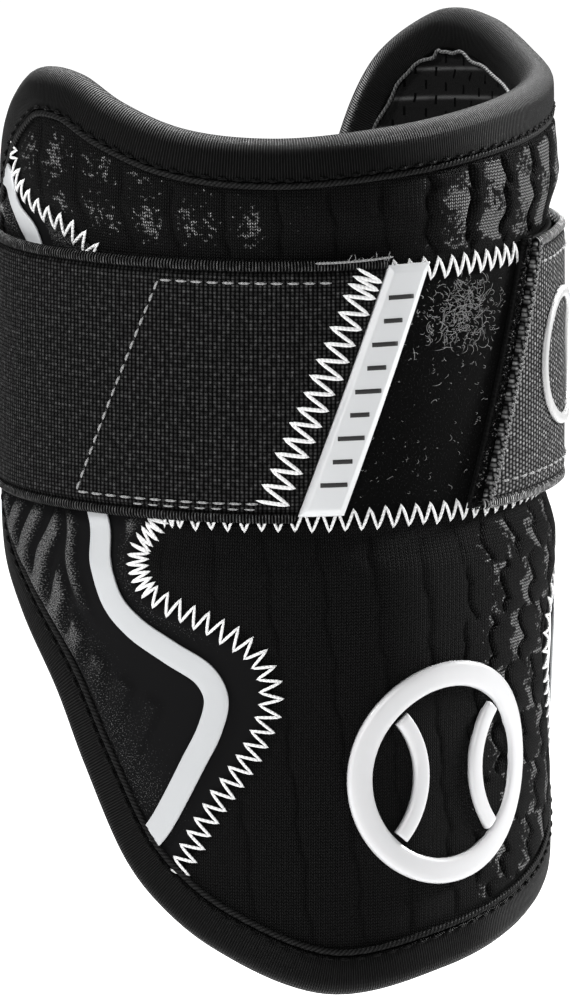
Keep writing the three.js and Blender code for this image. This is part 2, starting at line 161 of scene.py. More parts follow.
def makeWeave():  # columns of short bars, each column half a row off its neighbour
    tree, given, at, out = newGroup("wovenThreads", {"Column": 0.87, "Row": 1.2, "Offset": 0.5, "Bars": 1}, ["Height"])
    column = calc("DIVIDE", at[0], given["Column"])
    odd = times(calc("FLOOR", column), given["Offset"])
    row = calc("FRACT", calc("ADD", calc("DIVIDE", at[1], given["Row"]), odd))
    across = calc("SINE", times(calc("FRACT", column), math.pi))
    bar = calc("SINE", times(row, math.pi))
    gap = times(calc("SUBTRACT", 1, calc("POWER", bar, 0.6)), given["Bars"])
    height = times(calc("POWER", across, 0.7), calc("SUBTRACT", 1, gap))
    tree.links.new(height, out["Height"])
    return tree


def makeRibs():  # straight or slanted ribs across a tape or thread
    tree, given, at, out = newGroup("crossRibs", {"Pitch": 0.6, "Slant": 0}, ["Height"])
    slid = calc("ADD", at[0], times(at[1], given["Slant"]))
    wave = calc("SINE", times(calc("DIVIDE", slid, given["Pitch"]), 2 * math.pi))
    tree.links.new(calc("MULTIPLY_ADD", wave, 0.5, 0.5), out["Height"])
    return tree


def makeFlecks():  # fibres that catch the light in patches
    numbers = {"Fineness": 2.4, "Cover": 0.5, "Softness": 0.08, "Bias": 0}
    tree, given, _, out = newGroup("fibreFlecks", numbers, ["Mask", "Cloud"])
    fine, cloud = tree.nodes.new("ShaderNodeTexNoise"), tree.nodes.new("ShaderNodeTexNoise")
    for noise in (fine, cloud):
        tree.links.new(given["Pattern"], noise.inputs["Vector"])
    tree.links.new(given["Fineness"], fine.inputs["Scale"])
    fine.inputs["Detail"].default_value = 1
    cloud.inputs["Scale"].default_value = 0.16
    cloud.inputs["Detail"].default_value = 2
    level = calc("SUBTRACT", calc("SUBTRACT", 1, given["Cover"]), given["Bias"])
    over = calc("DIVIDE", calc("SUBTRACT", fine.outputs["Fac"], level), given["Softness"])
    held = tree.nodes.new("ShaderNodeClamp")
    tree.links.new(over, held.inputs["Value"])
    tree.links.new(held.outputs[0], out["Mask"])
    tree.links.new(cloud.outputs["Fac"], out["Cloud"])
    return tree


def makeSlots():  # short upright slots in a brick pattern
    tree, given, at, out = newGroup("ventSlots", {"Across": 5.6, "Up": 2.85, "Width": 0.055, "Tall": 0.64}, ["Mask"])
    row = calc("DIVIDE", at[1], given["Up"])
    odd = times(calc("FLOOR", row), 0.5)
    across = calc("FRACT", calc("ADD", calc("DIVIDE", at[0], given["Across"]), odd))
    near = calc("LESS_THAN", calc("ABSOLUTE", calc("SUBTRACT", across, 0.5)), given["Width"])
    low = calc("LESS_THAN", calc("FRACT", row), given["Tall"])
    tree.links.new(times(near, low), out["Mask"])
    return tree


groups = {"knit": makeKnit(), "weave": makeWeave(), "ribs": makeRibs(), "flecks": makeFlecks(), "slots": makeSlots()}

print("materials")


def newMaterial(name, colour, roughness, specular, sheen=0.0, coat=0.0):
    material = bpy.data.materials.new(name)
    material.use_nodes = True
    shader = material.node_tree.nodes["Principled BSDF"]
    shader.inputs["Base Color"].default_value = (*colour, 1)
    shader.inputs["Roughness"].default_value = roughness
    shader.inputs["Specular IOR Level"].default_value = specular
    shader.inputs["Sheen Weight"].default_value = sheen
    shader.inputs["Sheen Roughness"].default_value = 0.4
    shader.inputs["Coat Weight"].default_value = coat
    return material, material.node_tree, shader


def place(tree, kind, bias=None, **numbers):
    node = tree.nodes.new("ShaderNodeGroup")
    node.node_tree = groups[kind]
    pattern = tree.nodes.new("ShaderNodeUVMap")
    pattern.uv_map = "pattern"
    tree.links.new(pattern.outputs[0], node.inputs["Pattern"])
    for label, value in numbers.items():
        node.inputs[label].default_value = value
    if bias is not None:  # more of the bright flecks where the attribute is high: a painted highlight
        tree.links.new(times(raised(tree), bias), node.inputs["Bias"])
    return node.outputs


# A mesh attribute of painted light: highlights above zero, painted shade below zero. On the strap it also marks the
# selvedge hem.
def raised(tree):
    node = tree.nodes.new("ShaderNodeAttribute")
    node.attribute_name = "raised"
    return node.outputs["Fac"]


def paintedShadeFactor(tree):  # painted shade: 1 where none is painted, down to 0 at the darkest painted shade of the folds and of the strap's groove
    return calc("ADD", 1, calc("MINIMUM", raised(tree), 0))


def grey(value, tone=1.0):
    return (value, value, value * tone)


def shade(shader, mask, dark, light):
    tree = shader.id_data
    node = tree.nodes.new("ShaderNodeMix")
    node.data_type = "RGBA"
    tree.links.new(mask, node.inputs["Factor"])
    node.inputs[6].default_value = (*dark, 1)
    node.inputs[7].default_value = (*light, 1)
    tree.links.new(node.outputs[2], shader.inputs["Base Color"])


def bump(shader, height, depth):
    tree = shader.id_data
    node = tree.nodes.new("ShaderNodeBump")
    node.inputs["Distance"].default_value = depth * mm
    tree.links.new(height, node.inputs["Height"])
    tree.links.new(node.outputs[0], shader.inputs["Normal"])


def knitMaterial():
    material, tree, shader = newMaterial("puffedKnit", grey(0.005), 0.65, 0.03, sheen=0.006)
    knit = place(tree, "knit", Wale=0.95, Course=0.62)
    # Bright flecks gather where the attribute paints highlights, and painted shade darkens the folds: painted light in
    # the colour.
    flecks = place(tree, "flecks", bias=0.42, Fineness=0.9, Cover=0.2, Softness=0.14)
    shine = times(flecks["Mask"], calc("POWER", knit["Height"], 2))
    plain = calc("MULTIPLY_ADD", knit["Height"], 0.026, 0.001)
    lit = times(calc("MAXIMUM", shine, plain), paintedShadeFactor(tree))
    shade(shader, lit, grey(0.0006), grey(0.5))
    bump(shader, calc("ADD", knit["Height"], times(flecks["Cloud"], 0.5)), 0.5)
    return material


def fleeceMaterial():
    material, tree, shader = newMaterial("embossedFleece", grey(0.006), 0.75, 0.03, sheen=0.006)
    # The bright flecks are gathered by the attribute's painted highlight.
    flecks = place(tree, "flecks", bias=0.42, Fineness=3.4, Cover=0.22, Softness=0.3)
    shade(shader, times(flecks["Mask"], paintedShadeFactor(tree)), grey(0.0055, 1.05), grey(0.2))
    bump(shader, flecks["Mask"], 0.3)
    return material


def pileMaterial():
    material, tree, shader = newMaterial("loopPile", grey(0.004), 0.95, 0.04, sheen=0.015)
    flecks = place(tree, "flecks", Fineness=2.2, Cover=0.4, Softness=0.2)
    shade(shader, flecks["Mask"], grey(0.002), grey(0.012))
    bump(shader, flecks["Mask"], 0.35)
    return material


def liningMaterial():
    material, tree, shader = newMaterial("slottedMesh", grey(0.008), 0.6, 0.02, sheen=0.004)
    slots, flecks = place(tree, "slots"), place(tree, "flecks", Fineness=3.0, Cover=0.5, Softness=0.3)
    # Painted highlight: thin, nearly level bright streaks at about the pleats' pitch.
    pleats = calc("POWER", place(tree, "ribs", Pitch=58, Slant=10)["Height"], 30)
    cloth = calc("MULTIPLY_ADD", times(pleats, flecks["Cloud"]), 1.9, 0.12)
    lit = times(cloth, calc("SUBTRACT", 1, slots["Mask"]))
    shade(shader, lit, grey(0.0006), grey(0.055))
    bump(shader, calc("SUBTRACT", times(flecks["Mask"], 0.3), slots["Mask"]), 0.3)
    return material


def tapeMaterial():
    material, tree, shader = newMaterial("bindingTape", grey(0.008), 0.5, 0.06, sheen=0.006)
    ribs, flecks = place(tree, "ribs", Pitch=0.52), place(tree, "flecks", Fineness=1.3, Cover=0.45, Softness=0.4)
    fibres = calc("MULTIPLY_ADD", flecks["Mask"], 0.6, 0.4)
    lit = times(calc("POWER", ribs["Height"], 2), fibres)
    # Brighter ribs where the attribute paints the crest highlight: painted light.
    crest = calc("MULTIPLY_ADD", raised(tree), 0.82, 0.18)
    shade(shader, times(lit, crest), grey(0.0006), grey(0.15))
    bump(shader, ribs["Height"], 0.45)
    return material


def webbingMaterial(name, dark, light, column, row, offset, bars):
    material, tree, shader = newMaterial(name, grey(light), 0.6, 0.015, sheen=0.003)
    weave = place(tree, "weave", Column=column, Row=row, Offset=offset, Bars=bars)
    flecks = place(tree, "flecks", Fineness=0.9, Cover=0.6, Softness=0.5)
    selvedge = calc("MAXIMUM", raised(tree), 0)
    hem = times(selvedge, times(place(tree, "ribs", Pitch=0.62)["Height"], 1.3))
    height = calc("ADD", hem, times(weave["Height"], calc("SUBTRACT", 1, selvedge)))
    lit = times(height, calc("ADD", times(flecks["Mask"], 0.5), 0.5))
    # Painted shade darkens the groove beside the selvedge.
    shade(shader, times(calc("POWER", lit, 2.6), paintedShadeFactor(tree)), grey(dark), grey(light))
    bump(shader, height, 0.3)
    return material


def threadMaterial(name, colour, slant=0.5, pitch=0.8, contrast=0.7):
    pale = colour[0] > 0.1
    material, tree, shader = newMaterial(name, colour, 0.55, 0.3 if pale else 0.06, sheen=0.1 if pale else 0.008)
    ribs = place(tree, "ribs", Pitch=pitch, Slant=slant)
    shade(shader, ribs["Height"], tuple(contrast * c for c in colour), colour)
    bump(shader, ribs["Height"], 0.1)
    return material


def plasticMaterial(name, colour, roughness, coat=0.0, grain=0.01):
    material, tree, shader = newMaterial(name, colour, roughness, 0.5, coat=coat)
    flecks = place(tree, "flecks", Fineness=0.7, Cover=0.55, Softness=0.5)
    shade(shader, flecks["Cloud"], tuple(0.96 * c for c in colour), colour)
    bump(shader, flecks["Mask"], grain)
    return material


puffedKnit = knitMaterial()
embossedFleece = fleeceMaterial()
loopPile = pileMaterial()
slottedMesh = liningMaterial()
bindingTape = tapeMaterial()
strapWebbing = webbingMaterial("strapWebbing", 0.0003, 0.13, column=0.87, row=0.76, offset=0, bars=0.75)
tabWebbing = webbingMaterial("tabWebbing", 0.002, 0.75, column=1.15, row=0.95, offset=0.5, bars=0.9)
whiteThread = threadMaterial("whiteThread", grey(0.84), contrast=0.88)
greyThread = threadMaterial("greyThread", grey(0.3))
blackThread = threadMaterial("blackThread", grey(0.0012))
selvageRope = threadMaterial("selvageRope", grey(0.015), slant=0.9, pitch=0.95, contrast=0.12)
# Paler than the outer rope: a painted highlight along the tape's inner edge.
innerRopeHighlight = threadMaterial("innerRopeHighlight", grey(0.11), slant=0.9, pitch=0.95, contrast=0.2)
overlockThread = threadMaterial("overlockThread", grey(0.16), contrast=0.35)
hookFuzz = threadMaterial("hookFuzz", grey(0.006))
paleHair = threadMaterial("paleHair", grey(0.28))
pearlFilm = plasticMaterial("pearlFilm", (0.47, 0.48, 0.49), 0.45, grain=0.02)
glossyLabel = plasticMaterial("glossyLabel", (0.62, 0.63, 0.64), 0.22, coat=0.6)
badgePlastic = plasticMaterial("badgePlastic", (0.63, 0.63, 0.64), 0.3, coat=0.4)
labelInk = plasticMaterial("labelInk", grey(0.01), 0.7)
ringRubber = plasticMaterial("ringRubber", grey(0.5), 0.35, coat=0.3)

print("pattern")
shell = {
    "halfWidth": 54, "frontDepth": 56, "backDepth": 48,
    "halfGirth": 122.6, "rimRise": 62.3, "rimDrop": 119,
    "wall": 3, "liningOuter": -3.5, "liningInner": -4.7,
    "edgeInset": 3, "halfGap": 0.1, "bandTop": 22.8, "bandBottom": -25.2, "strapWidth": 51,
}  # fmt: skip
# The rim: a share of the half girth, then a share of the rim's rise, or of its drop where it is below zero.
rimRows = [
    (-0.985, -0.2, "leftEndFoot"), (-0.918, -0.315), (-0.797, -0.42), (-0.705, -0.517), (-0.635, -0.639, "leftFoot"),
    (-0.55, -0.79), (-0.489, -0.857, "leftSeamFoot"), (-0.395, -0.925), (-0.21, -1), (0, -0.975), (0.2, -0.93),
    (0.38, -0.87), (0.458, -0.815, "rightSeamFoot"), (0.52, -0.752), (0.574, -0.68, "rightFoot"), (0.674, -0.534),
    (0.781, -0.412), (0.918, -0.315), (0.985, -0.2, "rightEndFoot"), (1, -0.067), (1, 0.24, "rightEndMiddle"),
    (0.982, 0.515, "rightEndHead"), (0.911, 0.82, "rightHead"), (0.808, 0.97), (0.751, 1, "rightSeamHead"),
    (0.662, 0.987), (0.52, 0.92), (0.333, 0.891), (0.096, 0.851), (-0.112, 0.811), (-0.301, 0.787), (-0.45, 0.811),
    (-0.566, 0.88), (-0.658, 0.952), (-0.751, 0.952, "leftSeamHead"), (-0.812, 0.888), (-0.896, 0.746, "leftHead"),
    (-0.978, 0.53, "leftEndHead"), (-1, 0.24, "leftEndMiddle"), (-1, -0.067),
]  # fmt: skip
# Side seams and stripes: the second share is of the height between the loop band and the seam's end on the rim.
seamAbove = [(0.789, 0.745), (0.822, 0.608), (0.827, 0.471), (0.802, 0.389), (0.732, 0.26), (0.648, 0.148), (0.593, 0)]
seamBelow = [
    (0.485, 0), (0.517, 0.088), (0.497, 0.186), (0.395, 0.264), (0.32, 0.342), (0.299, 0.457), (0.329, 0.588),
    (0.395, 0.747), (0.443, 0.892),
]  # fmt: skip
stripeAbove = [(0.832, 0.356), (0.803, 0.195), (0.755, 0.066)]
stripeBelow = [
    (0.597, 0.021), (0.582, 0.128), (0.558, 0.225), (0.52, 0.284), (0.458, 0.342), (0.403, 0.395), (0.385, 0.453),
    (0.395, 0.531), (0.422, 0.62), (0.478, 0.788),
]  # fmt: skip
stripeEnd = {"inset": 6.5, "headShare": 0.45, "leftRow": 5, "rightRow": 13}  # its foot ends at a row of the rim
lineSteps = 30  # places on a smooth line from one given point to the next
pad = {"pinch": 1, "swell": 1, "swellStart": 2, "swellFull": 11, "swellEnd": 50, "rimFlat": 9, "rimFull": 22}


def lerp(start, end, share):
    return start + (end - start) * share


def ease(value, low, high):
    share = np.clip((value - low) / (high - low), 0, 1)
    return share * share * (3 - 2 * share)


def bell(value, width):
    return np.exp(-((value / width) ** 2))


def ovalRadius(angle):
    depth = np.where(np.cos(angle) > 0, shell["frontDepth"], shell["backDepth"])
    return shell["halfWidth"] * depth / np.hypot(depth * np.sin(angle), shell["halfWidth"] * np.cos(angle))


turns = np.linspace(0, math.pi, 1441)
ovalLine = np.stack([np.sin(turns), -np.cos(turns)], 1) * ovalRadius(turns)[:, None]
arcs = np.concatenate([[0], np.cumsum(np.linalg.norm(np.diff(ovalLine, axis=0), axis=1))])
halfRound = arcs[-1]


def angleAt(x):
    distance = np.abs(x)
    beyond = distance > halfRound
    inside = np.interp(np.where(beyond, 2 * halfRound - distance, distance), arcs, turns)
    return np.sign(x) * np.where(beyond, 2 * math.pi - inside, inside)


def wrap(x, y, out):
    angle = angleAt(x)
    radius = ovalRadius(angle) + out
    return np.stack([radius * np.sin(angle), -radius * np.cos(angle), y + 0 * radius], -1) * mm


def smooth(points, closed=False):  # a centripetal Catmull-Rom line through the points
    p = np.array(points, float)
    p = np.concatenate([p[-1:], p, p[:2]] if closed else [[2 * p[0] - p[1]], p, [2 * p[-1] - p[-2]]])
    t = np.arange(lineSteps)[:, None] / lineSteps
    line = []
    for a, b, c, d in zip(p, p[1:], p[2:], p[3:]):
        ab, bc, cd = (math.sqrt(math.dist(*pair)) for pair in ((a, b), (b, c), (c, d)))
        leave = ((b - a) / ab - (c - a) / (ab + bc) + (c - b) / bc) * bc
        arrive = ((c - b) / bc - (d - b) / (bc + cd) + (d - c) / cd) * bc
        line.append(b + leave * t + (3 * (c - b) - 2 * leave - arrive) * t**2 + (2 * (b - c) + leave + arrive) * t**3)
    line = np.concatenate(line)
    return line if closed else np.concatenate([line, p[-2:-1]])


def lengths(line):
    return np.concatenate([[0], np.cumsum(np.linalg.norm(np.diff(line, axis=0), axis=1))])


def even(line, count):
    along = lengths(line)
    wanted = np.linspace(0, along[-1], count + 1)
    return np.stack([np.interp(wanted, along, line[:, k]) for k in range(line.shape[1])], 1)


def leftOf(line, closed=False):
    if closed:
        tangent = np.roll(line, -1, 0) - np.roll(line, 1, 0)
    else:
        tangent = np.gradient(line, axis=0)
    left = np.stack([-tangent[:, 1], tangent[:, 0]], 1)
    return left / np.linalg.norm(left, axis=1)[:, None]


def fill(top, bottom, left, right):
    across, down = np.linspace(0, 1, len(top))[None, :, None], np.linspace(0, 1, len(left))[:, None, None]
    corners = lerp(lerp(top[0], top[-1], across), lerp(bottom[0], bottom[-1], across), down)
    return lerp(top[None], bottom[None], down) + lerp(left[:, None], right[:, None], across) - corners


def distanceTo(line):
    tree = kdtree.KDTree(len(line))
    for k, (x, y) in enumerate(line.tolist()):
        tree.insert((x, y, 0), k)
    tree.balance()

    def measure(points):
        found = [tree.find((x, y, 0))[2] for x, y in points.reshape(-1, 2).tolist()]
        return np.array(found).reshape(points.shape[:-1])

    return measure


def rimPlace(row):
    return (row[0] * shell["halfGirth"], row[1] * (shell["rimRise"] if row[1] > 0 else shell["rimDrop"]))


rimLine = smooth([rimPlace(row) for row in rimRows], closed=True)
rimLeft = leftOf(rimLine, closed=True)
rimDistance = distanceTo(rimLine)
cornerAt = {row[2]: k * lineSteps for k, row in enumerate(rimRows) if len(row) > 2}


def rimPart(start, end, count):
    first, last = cornerAt[start], cornerAt[end]
    span = (last - first + len(rimLine) // 2) % len(rimLine) - len(rimLine) // 2
    index = (first + np.arange(0, abs(span) + 1) * np.sign(span)) % len(rimLine)
    return even((rimLine + shell["edgeInset"] * rimLeft)[index], count)


def padFace(points):  # pressed in under the strap, swollen beside it and flat near the rim
    past = np.abs(points[..., 1]) - shell["strapWidth"] / 2
    swollen = ease(past, pad["swellStart"], pad["swellFull"])
    height = lerp(-pad["pinch"], pad["swell"], swollen) - ease(past, pad["swellFull"], pad["swellEnd"])
    return height * ease(rimDistance(points), pad["rimFlat"], pad["rimFull"])


def sideLines(sign, name):
    head, foot = (rimPlace(rimRows[cornerAt[name + corner] // lineSteps])[1] for corner in ("SeamHead", "SeamFoot"))

    def above(row):
        return (sign * row[0] * shell["halfGirth"], lerp(shell["bandTop"], head, row[1]))

    def below(row):
        return (sign * row[0] * shell["halfGirth"], lerp(shell["bandBottom"], foot, row[1]))

    def rimEnd(corner, inset):
        return (rimLine + inset * rimLeft)[cornerAt[name + corner]]

    edge, inset = shell["edgeInset"], stripeEnd["inset"]
    seam = smooth([rimEnd("SeamHead", edge), *map(above, seamAbove), *map(below, seamBelow), rimEnd("SeamFoot", edge)])
    cuts = [0, len(seamAbove) * lineSteps, (len(seamAbove) + 1) * lineSteps, len(seam) - 1]
    stripeFoot = (rimLine + inset * rimLeft)[stripeEnd[name + "Row"] * lineSteps]
    stripeHead = lerp(rimEnd("Head", inset), rimEnd("EndHead", inset), stripeEnd["headShare"])
    stripe = smooth([stripeHead, *map(above, stripeAbove), *map(below, stripeBelow), stripeFoot])
    return {"seam": seam, "cuts": cuts, "stripe": stripe}


sides = {"left": (-1, sideLines(-1, "left")), "right": (1, sideLines(1, "right"))}

print("mesh helpers")


def addMesh(name, points, faces, material, pattern, slot=None, replaced=(), raisedBy=None):
    mesh = bpy.data.meshes.new(name)
    mesh.from_pydata(points.reshape(-1, 3).tolist(), [], faces)
    mesh.update()
    corner = np.empty(len(mesh.loops), int)
    mesh.loops.foreach_get("vertex_index", corner)
    layer = mesh.uv_layers.new(name="pattern")
    layer.data.foreach_set("uv", pattern.reshape(-1, 2)[corner].ravel())
    if raisedBy is not None:
        mesh.attributes.new("raised", "FLOAT", "POINT").data.foreach_set("value", raisedBy.ravel())
    mesh.shade_smooth()
    for one in material if isinstance(material, list) else [material]:
        mesh.materials.append(one)
    piece = bpy.data.objects.new(name, mesh)
    scene.collection.objects.link(piece)
    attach(piece, "root")
    if replaced:
        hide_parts(*replaced)
    return piece


def cells(number):
    quads = np.stack([number[:-1, :-1], number[1:, :-1], number[1:, 1:], number[:-1, 1:]], -1)
    return quads.reshape(-1, 4).tolist()


def slabFaces(rows, columns, picked):
    front = np.arange(rows * columns).reshape(rows, columns)
    back = rows * columns + np.arange(len(picked) * columns).reshape(-1, columns)
    faces = cells(front) + cells(back[:, ::-1])
    for here, there, turned in ((front[0], back[0], False), (front[-1], back[-1], True)):
        wall = np.stack([here[:-1], here[1:], there[1:], there[:-1]], -1)
        faces += (wall[:, ::-1] if turned else wall).tolist()
    near = np.abs(picked[None, :] - (np.arange(rows - 1) + 0.5)[:, None]).argmin(1)
    for column, turned in ((0, False), (columns - 1, True)):
        for row, k in enumerate(near):
            fan = [[front[row, column], back[k, column], front[row + 1, column]]]
            if row and near[row - 1] != k:
                fan.append([front[row, column], back[near[row - 1], column], back[k, column]])
            faces += [[int(v) for v in (one[::-1] if turned else one)] for one in fan]
    return faces


# A closed slab over a grid of pattern points. Its outer face is fine, and its hidden face has few rows.
def addSlab(name, grid, outer, inner, material, backRows=9, **given):
    rows, columns = grid.shape[:2]
    picked = np.unique(np.linspace(0, rows - 1, backRows).round().astype(int))
    back = grid[picked]
    innerOut = inner[picked] if isinstance(inner, np.ndarray) else inner
    points = np.concatenate([wrap(grid[..., 0], grid[..., 1], outer), wrap(back[..., 0], back[..., 1], innerOut)])
    if given.get("raisedBy") is not None:
        given["raisedBy"] = np.concatenate([given["raisedBy"], given["raisedBy"][picked]])
    return addMesh(name, points, slabFaces(rows, columns, picked), material, np.concatenate([grid, back]), **given)


def onShell(points):
    return np.zeros(points.shape[:-1])


# A profile of (aside, out) points carried along a line on the pattern.
def addSweep(name, line, profile, face, material, closed=False, **given):
    left = leftOf(line, closed)
    profile = np.array(profile, float)
    spots = line[:, None] + left[:, None] * profile[None, :, :1]
    points = wrap(spots[..., 0], spots[..., 1], face(spots) + profile[None, :, 1])
    ring = len(profile)
    number = np.arange(len(line) * ring).reshape(-1, ring)
    number = np.concatenate([number, number[:, :1]], 1)
    if closed:
        number = np.concatenate([number, number[:1]])
    faces = cells(number)
    if not closed:
        faces += [number[0, :-1].tolist(), number[-1, :-1][::-1].tolist()]
    along = lengths(line)[:, None] + np.zeros((1, ring))
    around = lengths(profile)[None] + np.zeros((len(line), 1))
    return addMesh(name, points, faces, material, np.stack([along, around], -1), **given)


# Threads: strands of (x, y, out) points, all with the same count, each made into a thin tube.
def addThreads(name, strands, radius, material, ring=6, flatness=0.8, **given):
    strands = np.array(strands, float)
    points = wrap(strands[..., 0], strands[..., 1], strands[..., 2])
    angle = angleAt(strands[..., 0])
    outward = np.stack([np.sin(angle), -np.cos(angle), 0 * angle], -1)
    tangent = np.gradient(points, axis=1)
    tangent /= np.linalg.norm(tangent, axis=-1, keepdims=True)
    aside = np.cross(tangent, outward)
    aside /= np.linalg.norm(aside, axis=-1, keepdims=True)
    above = np.cross(aside, tangent)
    count = strands.shape[1]
    taper = np.ones(count)
    taper[[0, -1]] = 0.15
    taper[[1, -2]] = 0.85
    turn = (np.arange(ring) / ring) * 2 * math.pi - math.pi / 2
    reach = (radius * mm * taper)[None, :, None, None]
    tube = points[:, :, None] + reach * (
        np.cos(turn)[:, None] * aside[:, :, None] + flatness * np.sin(turn)[:, None] * above[:, :, None]
    )
    number = np.arange(len(strands) * count * ring).reshape(len(strands), count, ring)
    number = np.concatenate([number, number[:, :, :1]], 2)
    quads = np.stack([number[:, :-1, :-1], number[:, :-1, 1:], number[:, 1:, 1:], number[:, 1:, :-1]], -1)
    steps = np.linalg.norm(np.diff(points, axis=1), axis=-1)
    along = np.concatenate([np.zeros((len(strands), 1)), np.cumsum(steps, 1)], 1)
    pattern = np.stack(np.broadcast_arrays(along[:, :, None] / mm, (turn * radius)[None, None]), -1)
    return addMesh(name, tube, quads.reshape(-1, 4).tolist(), material, pattern, **given)


def zigzag(line, width, pitch, face, lift, dense=0.0, rows=7):
    along = lengths(line)
    spots, here = [], 0.0
    while here < along[-1]:
        spots.append(here)
        here += pitch / 2 * (0.5 if here < dense else 1) * chance.uniform(0.93, 1.07)
    left = leftOf(line)
    at = np.stack([np.interp(spots, along, line[:, k]) for k in (0, 1)], 1)
    aside = np.stack([np.interp(spots, along, left[:, k]) for k in (0, 1)], 1)
    sign = np.where(np.arange(len(spots)) % 2, 1, -1) * chance.uniform(0.92, 1.08, len(spots))  # no two legs alike
    tips = at + aside * (sign * width / 2)[:, None]
    share = np.linspace(-0.02, 1.02, rows)[None, :, None]
    legs = lerp(tips[:-1, None], tips[1:, None], share)
    arch = np.sin(np.clip(share[..., 0], 0, 1) * math.pi) ** 0.5 * lift
    return np.concatenate([legs, (face(legs) + arch - 0.05)[..., None]], -1)


def dashes(line, length, pitch, face, lift, rows=6):
    along = lengths(line)
    starts = np.arange(0.3, along[-1] - length, pitch)
    share = np.linspace(0, 1, rows)
    wanted = starts[:, None] + share[None] * length
    spots = np.stack([np.interp(wanted, along, line[:, k]) for k in (0, 1)], -1)
    return np.concatenate([spots, (face(spots) + np.sin(share * math.pi) ** 0.5 * lift - 0.05)[..., None]], -1)


print("padded panels")
panels = {
    "knitPuff": 0.4, "lowPuff": 0.26, "puffWide": 10.4, "puffTall": 10.6, "puffStart": -4.6,
    "plainTop": -14, "plainLow": -3,
    "ribPitch": 7.6, "ribLean": 0.42, "ribRise": 1.6, "bandTopShare": 0.593, "bandBottomShare": 0.485,
}  # fmt: skip


def panelRight(x, y):  # how far right of the plain part of a knit panel
    return x - np.where(y > 0, panels["plainTop"], panels["plainLow"])


def puffs(x, y):  # rise, painted highlights on crowns and flanks, and painted shade along the folds, of soft bricks of padding in wavy columns
    upper = y > 0
    high = (y - panels["puffStart"]) / panels["puffTall"]
    row = np.floor(high)
    share = high - row
    scallop = ease(panelRight(x, y), 0, 16)
    firm = lerp(lerp(0.5, 1, scallop), 0.25 * scallop + 0.75, upper)
    wobble = 0.12 * y + 0.4 * np.sin(0.45 * y + 0.12 * x) + 0.2 * np.sin(1.1 * y)
    wobble = wobble + scallop * lerp(2.2, 1.0, upper) * (np.abs(np.sin(0.5 * y + 0.2 * x)) - 0.5)

    def across(r):  # -1 to 1 over a brick, whose odd rows are shifted
        return 2 * np.mod((x + wobble) / panels["puffWide"] + lerp(0.5, 0.12, upper) * np.mod(r, 2) * scallop, 1) - 1

    def lifted(u):
        return 1 - 0.7 * u**4 - 0.8 * firm * bell(1 - np.abs(u), 0.1)

    other = np.where(share > 0.5, row + 1, row - 1)
    mix = np.where(share > 0.5, ease(share, 0.84, 1.16), 1 - ease(share, -0.16, 0.16))
    u = across(row)
    rise = lerp(lifted(u), lifted(across(other)), mix) - 0.12 * bell(np.minimum(share, 1 - share), 0.2)
    crown = 0.92 * bell(u, 1.0) * bell(share - 0.5, lerp(0.3, 0.55, row > 2.5))
    crown = crown * (0.9 + 0.2 * np.sin(0.9 * x + 2 * row))
    flank = ease(u, lerp(-0.3, -0.95, upper), lerp(0.4, 0.0, upper)) * (1 - ease(u, 0.86, 0.98))
    flank = flank * (0.75 + 0.25 * np.sin(0.31 * x + 0.47 * y + row))
    return rise, crown, flank, firm * bell(1 - np.abs(u), 0.07)


def ribs(x, y, rimGap, stripeGap):  # leaning ribs between dark valleys, which close up along the rim and the stripe
    phase = (x - panels["ribLean"] * y) / panels["ribPitch"]
    valley = ease(np.abs(2 * np.mod(phase, 1) - 1), 0.3, 0.85) * ease(rimGap, 10, 14)
    rib = (1 - valley) * ease(stripeGap, 9.6, 11.5)
    return np.maximum(rib, bell(stripeGap - 7.4, 1.5) * (1 - ease(-y, 38, 50))) * ease(rimGap, 9.2, 11)


def softEdges(grid, lines):
    gap = np.min([distanceTo(line)(grid) for line in lines], axis=0)
    return gap, -0.55 * (1 - ease(gap, 0, 1.3))


def joined(*parts):
    return np.concatenate([parts[0]] + [part[1:] for part in parts[1:]])


def seamPart(lines, k, count, inset):
    start, end = lines["cuts"][k], lines["cuts"][k + 1]
    return even((lines["seam"] + inset * leftOf(lines["seam"]))[start : end + 1], count)


def acrossBand(height, share, count):
    reach = share * shell["halfGirth"]
    return np.stack([np.linspace(-reach, reach, count + 1), np.full(count + 1, float(height))], 1)


def level(edge, head=None, foot=None):
    if head is not None:
        edge[0, 1] = head
    if foot is not None:
        edge[-1, 1] = foot
    return edge


